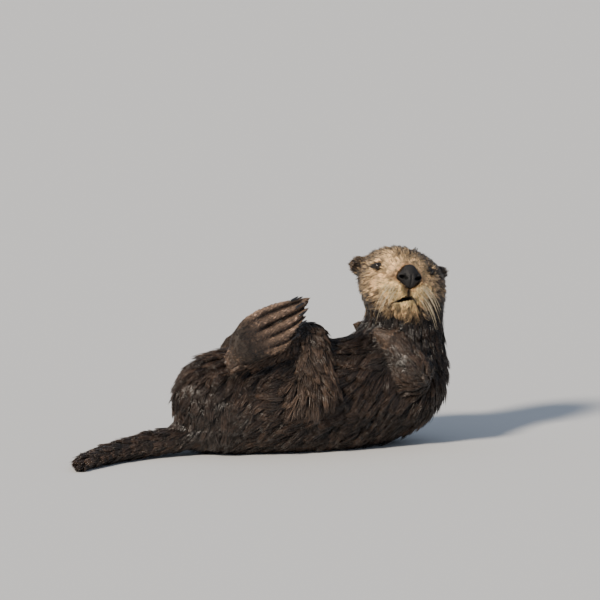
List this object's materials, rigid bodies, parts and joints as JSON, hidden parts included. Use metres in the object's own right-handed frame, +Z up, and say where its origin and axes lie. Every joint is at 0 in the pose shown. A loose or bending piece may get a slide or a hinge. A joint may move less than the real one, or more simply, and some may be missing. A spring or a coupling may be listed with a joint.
{
  "type": "sea otter, life-size still model",
  "caption": "Life-size sea otter lying on her back with the hind feet folded up over the belly, forepaws on the chest and the head raised and turned to her left.",
  "frame": {"origin": "on the floor, in the middle of the flat that the back rests on", "axes": "+X along the trunk towards the shoulders, +Z up, which is the belly side, and +Y towards her right side"},
  "size_m": [0.7654, 0.2756, 0.3662],
  "materials": {
    "body_coat": "matte",
    "face_coat": "matte",
    "nose_skin": "satin",
    "eye": "gloss",
    "claw": "gloss"
  },
  "bodies": {
    "root": {"ear_left": "face_coat", "ear_right": "face_coat", "eye_left": "eye", "eye_right": "eye", "foreleg_left": "body_coat", "foreleg_right": "body_coat", "forepaw_left": "body_coat", "forepaw_right": "body_coat", "head": "face_coat", "hindclaw_left_1": "claw", "hindclaw_left_2": "claw", "hindclaw_left_3": "claw", "hindclaw_left_4": "claw", "hindclaw_left_5": "claw", "hindclaw_right_1": "claw", "hindclaw_right_2": "claw", "hindclaw_right_3": "claw", "hindclaw_right_4": "claw", "hindclaw_right_5": "claw", "hindfoot_left": "body_coat", "hindfoot_right": "body_coat", "neck": "body_coat", "nose": "nose_skin", "shank_left": "body_coat", "shank_right": "body_coat", "tail": "body_coat", "thigh_left": "body_coat", "thigh_right": "body_coat", "trunk": "body_coat"}
  },
  "joints": []
}
